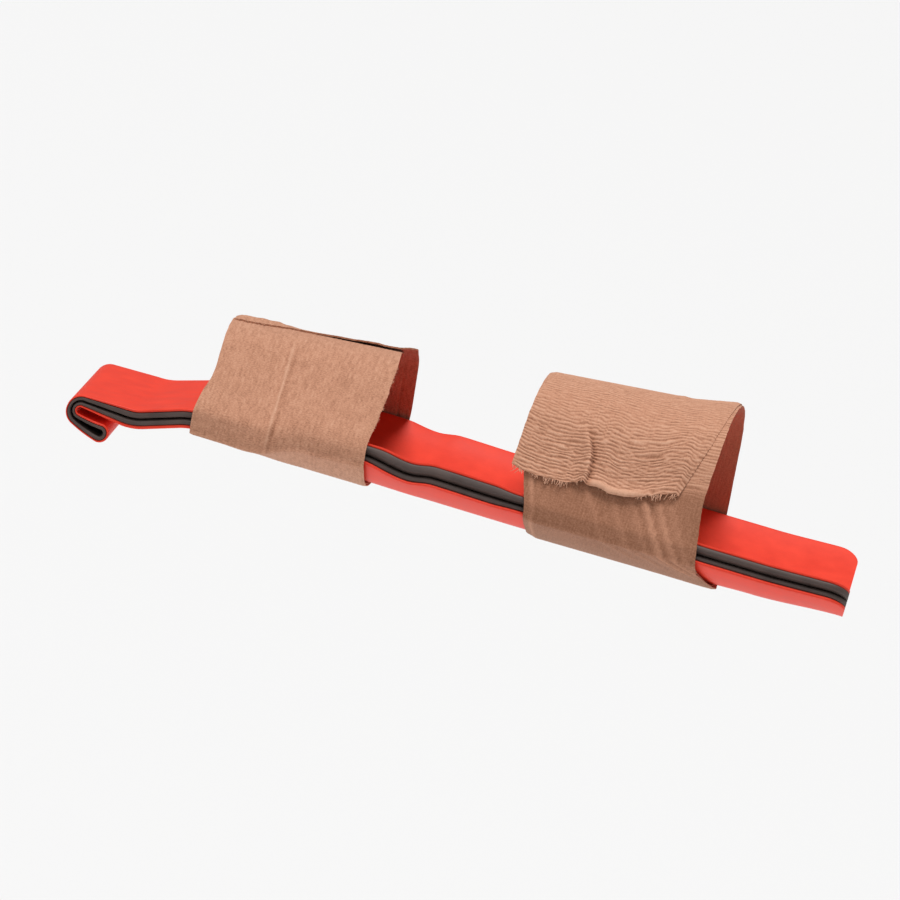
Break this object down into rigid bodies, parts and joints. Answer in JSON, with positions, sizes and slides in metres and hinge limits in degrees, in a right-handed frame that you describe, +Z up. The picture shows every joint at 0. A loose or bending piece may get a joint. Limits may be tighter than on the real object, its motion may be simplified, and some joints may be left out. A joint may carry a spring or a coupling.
{
  "type": "aluminium foam splint with two wound crepe bandage wraps",
  "caption": "Doubled foam and aluminium strip splint, curled into a grip at the hand end and bent to a forearm trough, held by wound crepe bandage wraps.",
  "frame": {"origin": "middle of the trough's inner face, between the two bandages, where the forearm rests", "axes": "+X along the forearm from the hand to the elbow, +Y away from the thumb side, +Z up off the trough into the forearm"},
  "size_m": [0.3646, 0.1178, 0.0926],
  "materials": {
    "red_foam": "smooth closed foam, orange red",
    "grey_foam": "matt closed foam, dark grey",
    "aluminium_sheet": "plain soft sheet",
    "crepe_bandage": "tan crepe weave"
  },
  "bodies": {
    "root": {"red_foam": "red_foam", "aluminium_core": "aluminium_sheet", "grey_foam": "grey_foam", "wrist_bandage": "crepe_bandage", "elbow_bandage": "crepe_bandage"}
  },
  "joints": []
}
